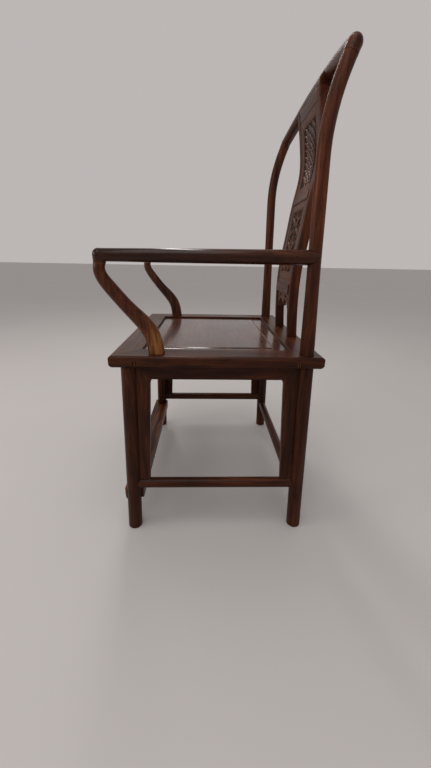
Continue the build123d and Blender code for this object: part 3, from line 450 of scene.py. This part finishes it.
def carvedPanel(name, node, leaves, mirrored):
    # the front is a grid over width and height whose depth is the board's own, plus the ground's depth
    # times 1 - height, where height is the highest of the leaves and the bead there
    heights, depths = frontLine(node)
    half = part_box(node)[1].x - carving["tongue"]
    low, high = heights[0], heights[-1]
    columns = np.linspace(-half, half, round(2 * half / carving["spacing"]) + 1)
    rows = np.linspace(low, high, round((high - low) / carving["spacing"]) + 1)
    gridX, gridZ = np.meshgrid(columns, rows)
    middle = (low + high) / 2
    fieldX = half - carving["margin"]
    fieldZ = (high - low) / 2 - carving["marginEnd"]

    # a mirrored pattern is drawn on one half and repeats on the other
    drawX = np.abs(gridX) if mirrored else gridX
    height = np.zeros_like(gridX)
    for leaf in leaves(fieldX, fieldZ):
        addLeaf(height, drawX, gridZ - middle, leafCurve(*leaf[:5]), leaf[5])
    inside = np.minimum(fieldX - np.abs(gridX), fieldZ - np.abs(gridZ - middle))
    offBead = inside / carving["bead"] - carving["beadInset"]
    height = np.maximum(height, carving["beadHeight"] * np.sqrt(np.clip(1 - offBead ** 2, 0, 1)))
    cut = np.clip(inside / carving["wall"], 0, 1) * (1 - np.clip(height, 0, 1))
    front = np.interp(gridZ, heights, depths) + carving["ground"] * cut
    points = np.stack((gridX, front, gridZ), axis=-1).reshape(-1, 3)

    # one back point at each end of every row closes the board
    across, down = len(columns), len(rows)
    index = np.arange(across * down).reshape(down, across)
    backY = np.interp(rows, heights, depths) + carving["thickness"]
    backLeft = np.stack((np.full(down, -half), backY, rows), axis=-1)
    backRight = np.stack((np.full(down, half), backY, rows), axis=-1)
    left = len(points) + np.arange(down)
    right = left + down
    strips = [
        (index[:-1, :-1], index[:-1, 1:], index[1:, 1:], index[1:, :-1]),
        (left[:-1], index[:-1, 0], index[1:, 0], left[1:]),
        (index[:-1, -1], right[:-1], right[1:], index[1:, -1]),
        (right[:-1], left[:-1], left[1:], right[1:]),
    ]
    faces = np.concatenate([np.stack(strip, axis=-1).reshape(-1, 4) for strip in strips]).tolist()
    faces.append([left[0], right[0]] + index[0, ::-1].tolist())
    faces.append([right[-1], left[-1]] + index[-1].tolist())
    vertices = np.concatenate((points, backLeft, backRight))
    piece = putPiece(name, vertices, faces, woods["wood_carved_panel"], node)

    # the finish reads how high each point stands, from 0 on the ground to 1 on the face
    relief = np.ones(len(vertices), dtype=np.float32)
    relief[:cut.size] = 1 - cut.ravel()
    piece.data.attributes.new("relief", "FLOAT", "POINT").data.foreach_set("value", relief)


plumes = {
    "numbers": (-2, 9),     # those below 0 are rooted on the field's top edge
    "pitch": 0.0155,        # spacing of the plumes down the field's left edge
    "start": 0.0210,        # from the left edge to a plume's root, past its scroll
    "lead": 0.0090,         # from the top edge to the first root
    "gapRight": 0.007,      # from a tip to the right edge
    "gapBelow": 0.009,      # and to the bottom edge
    "shortest": 0.012,
    "slope": 0.54,          # mean fall over reach
    "meanPace": 0.80,       # a plume's true length over the length it is given
    "heading": -0.66, "bend": 0.26, "curl": -0.80,
    "halfWidth": 0.0064,
    "scroll": (2.60, 0.027, 0.5, 4.4, 0.0025),      # heading, length, bend, curl, half width
}


def plumeLeaves(fieldX, fieldZ):
    # broad plumes slant down across the field side by side, from a scroll at the root to a hook at the tip
    leaves = []
    for number in range(*plumes["numbers"]):
        rootX = plumes["start"] - fieldX - min(number, 0) * plumes["pitch"] / plumes["slope"]
        rootZ = fieldZ - plumes["lead"] - max(number, 0) * plumes["pitch"]
        toRight = fieldX - plumes["gapRight"] - rootX
        toBottom = (rootZ + fieldZ - plumes["gapBelow"]) / plumes["slope"]
        reach = min(toRight, toBottom)
        if reach < plumes["shortest"]:
            continue
        length = reach * math.hypot(1, plumes["slope"]) / plumes["meanPace"]
        leaves.append(((rootX, rootZ), plumes["heading"], length, plumes["bend"], plumes["curl"],
                       plumes["halfWidth"]))
        if number >= 0:
            leaves.append(((rootX, rootZ), *plumes["scroll"]))
    return leaves


vine = {
    "bays": 5,
    "gap": 0.004,           # from the vine to the field's ends
    # offset from the half field's middle, height in the bay, turn from upright, length, bend, curl and
    # half width; the stem's length is in bays
    "stem": (-0.28, 0.0, -0.86, 1.30, 1.7, 0.0, 0.0034),
    "tendril": (-0.28, 0.10, -1.16, 0.092, -0.35, 8.6, 0.0046),
    "counterCurl": (-0.28, 0.30, 0.9, 0.036, 0.2, -4.8, 0.0036),
    "buds": [
        (0.36, 0.12, -0.2, 0.026, 0.6, 4.0, 0.0032),
        (-0.38, 0.62, 1.1, 0.022, -0.6, -3.6, 0.0028),
        (0.10, 0.80, -1.3, 0.024, 0.5, 4.2, 0.0028),
    ],
}


def vineLeaves(fieldX, fieldZ):
    # a stem waves upwards through the bays, with a tendril, a counter-curl and three buds in each
    leaves = []
    bay = 2 * (fieldZ - vine["gap"]) / vine["bays"]
    offset, rise, turn, bays, *shape = vine["stem"]
    stem = (offset, rise, turn, bays * bay, *shape)
    growth = [stem, vine["tendril"], vine["counterCurl"]] + vine["buds"]
    for number in range(vine["bays"]):
        side = 1 if number % 2 == 0 else -1
        foot = -fieldZ + vine["gap"] + number * bay
        for offset, rise, turn, length, bend, curl, width in growth:
            start = (fieldX * (0.5 + side * offset), foot + bay * rise)
            leaves.append((start, math.pi / 2 + side * turn, length, side * bend, side * curl, width))
    return leaves


apronCarving = {
    "height": 0.0016,
    "sink": 0.0006,         # how far the ridges' feet lie in the board
    "sides": 9,
    "taper": 0.5,
    "endPower": 6,          # the higher, the blunter both ends
    "endLeast": 0.02,       # what is left at the very ends, of the width squared
    # foot (x, up from the apron's top), heading, length, bend, curl, half width
    "tendrils": [
        ((0.006, -0.006), -0.35, 0.040, -0.2, 5.4, 0.0022),
        ((0.034, -0.020), 0.45, 0.038, 0.3, -5.6, 0.0022),
        ((0.010, -0.024), 0.9, 0.024, -0.6, -4.4, 0.0019),
        ((0.054, -0.010), -1.2, 0.026, 0.5, 4.2, 0.0019),
        ((0.063, -0.040), 1.75, 0.026, 0.2, 3.8, 0.0019),
    ],
}


def ridgeStrip(curve, width, faceY):
    # a half circle is carried along the curve on the board's face, narrowing to both ends
    along, up, share = curve
    turn = np.linspace(0, np.pi, apronCarving["sides"])
    heading = np.arctan2(np.gradient(up), np.gradient(along))
    fullness = 1 - np.abs(2 * share - 1) ** apronCarving["endPower"]
    ends = np.sqrt(np.clip(fullness, apronCarving["endLeast"], 1))
    half = (width * (1 - apronCarving["taper"] * share) * ends)[:, None]
    x = along[:, None] - np.sin(heading)[:, None] * half * np.cos(turn)
    z = up[:, None] + np.cos(heading)[:, None] * half * np.cos(turn)
    y = faceY(z) + apronCarving["sink"] - apronCarving["height"] * half / half.max() * np.sin(turn)
    grid = np.arange(x.size).reshape(x.shape)
    ring = np.concatenate((grid, grid[:, :1]), axis=1)
    quads = np.stack((ring[:-1, :-1], ring[1:, :-1], ring[1:, 1:], ring[:-1, 1:]), axis=-1)
    faces = quads.reshape(-1, 4).tolist() + [grid[0].tolist(), grid[-1, ::-1].tolist()]
    return np.stack((x, y, z), axis=-1).reshape(-1, 3), faces


def carvedApron():
    # each tendril is a ridge on one half and its mirror image on the other, whose faces run the other way
    heights, depths = frontLine("splat_apron")
    points, faces = [], []
    for (x, up), heading, length, bend, curl, width in apronCarving["tendrils"]:
        along, rise, share = leafCurve((x, heights[-1] + up), heading, length, bend, curl)
        for side in (1, -1):
            curve = (side * along, rise, share)
            ridge, ridgeFaces = ridgeStrip(curve, width, lambda z: np.interp(z, heights, depths))
            base = sum(len(part) for part in points)
            faces += [[base + i for i in face[::-side]] for face in ridgeFaces]
            points.append(ridge)
    putPiece("splat_apron_carving", np.concatenate(points), faces, woods["wood_carved"])


carvedPanel("splat_upper_carving", "splat_upper_panel", plumeLeaves, mirrored=False)
carvedPanel("splat_middle_carving", "splat_middle_panel", vineLeaves, mirrored=True)
carvedApron()
print("stage: carving done")

studio = {
    "floorColour": (0.56, 0.540, 0.530),
    "floorCloud": (1.3, 3, 0.5), "cloudStops": (0.3, 0.7), "cloudShade": 0.97,
    "floorRough": 0.75,
    "floorSpecular": 0.25,
    "floorReach": 40,
    "wallColour": (0.56, 0.527, 0.517),
    "wallStrength": 0.90,
    # name, place, aimed at, size, watts, colour
    "lamps": [
        ("ceiling_strip", (-1.3, -0.3, 2.9), (0, 0, 0.5), (0.22, 2.2), 20, (1.0, 0.98, 0.96)),
        ("ceiling_panel", (1.2, -0.3, 2.9), (0, 0, 0.7), (1.6, 2.2), 20, (1.0, 0.98, 0.96)),
        ("window_light", (0.8, -3.2, 1.5), (0, 0, 0.6), (1.8, 1.4), 24, (1.0, 0.95, 0.92)),
    ],
}


def makeFloor():
    # one wide square with a faint cloud in its colour
    material, tree, shader = newTree("studio_floor")
    cloud = noise(tree, addNode(tree, "TexCoord").outputs["Object"], *studio["floorCloud"])
    shaded = tuple(studio["cloudShade"] * part for part in studio["floorColour"])
    colour = ramp(tree, cloud, zip(studio["cloudStops"], (shaded, studio["floorColour"])))
    setSockets(tree, shader, Base_Color=colour, Roughness=studio["floorRough"],
               Specular_IOR_Level=studio["floorSpecular"])
    reach = studio["floorReach"]
    corners = [(-reach, -reach, 0), (reach, -reach, 0), (reach, reach, 0), (-reach, reach, 0)]
    mesh = bpy.data.meshes.new("studio_floor")
    mesh.from_pydata(corners, [], [(0, 1, 2, 3)])
    mesh.materials.append(material)
    floor = bpy.data.objects.new("studio_floor", mesh)
    scene.collection.objects.link(floor)


def makeWorld():
    world = bpy.data.worlds.new("studio_world")
    scene.world = world
    world.use_nodes = True
    tree = world.node_tree
    setSockets(tree, tree.nodes["Background"], Color=studio["wallColour"], Strength=studio["wallStrength"])


def makeLight(name, place, target, size, power, colour):
    light = bpy.data.lights.new(name, "AREA")
    light.shape = "RECTANGLE"
    light.size, light.size_y = size
    light.energy = power
    light.color = colour
    lamp = bpy.data.objects.new(name, light)
    lamp.location = place
    lamp.rotation_euler = (Vector(target) - Vector(place)).to_track_quat("-Z", "Y").to_euler()
    scene.collection.objects.link(lamp)


view = {
    "place": (0.9912, -0.0272, 0.7014),             # from the middle of the seat frame, on the floor
    "yaw": -1.94, "pitch": 21.47, "roll": 1.07,     # degrees
    "lens": 14.8, "sensor": 36, "near": 0.02,
}


def makeCamera():
    # yaw turns the view about Z from looking along -X, pitch dips it and roll tilts it
    yaw, pitch, roll = (math.radians(view[turn]) for turn in ("yaw", "pitch", "roll"))
    forward = Vector((-math.cos(pitch) * math.cos(yaw), -math.cos(pitch) * math.sin(yaw), -math.sin(pitch)))
    level = Vector((-math.sin(yaw), math.cos(yaw), 0))
    lift = level.cross(forward)
    right = level * math.cos(roll) + lift * math.sin(roll)
    up = lift * math.cos(roll) - level * math.sin(roll)
    data = bpy.data.cameras.new("camera")
    data.sensor_fit = "VERTICAL"
    data.sensor_height = view["sensor"]
    data.lens = view["lens"]
    data.clip_start = view["near"]
    camera = bpy.data.objects.new("camera", data)
    turned = Matrix((right, up, -forward)).transposed().to_4x4()
    camera.matrix_world = Matrix.Translation(Vector(view["place"]) + Vector((0, seatMid, 0))) @ turned
    scene.collection.objects.link(camera)
    scene.camera = camera


makeFloor()
makeWorld()
for lamp in studio["lamps"]:
    makeLight(*lamp)
makeCamera()
scene.view_settings.view_transform = "Standard"
print("stage: studio done")
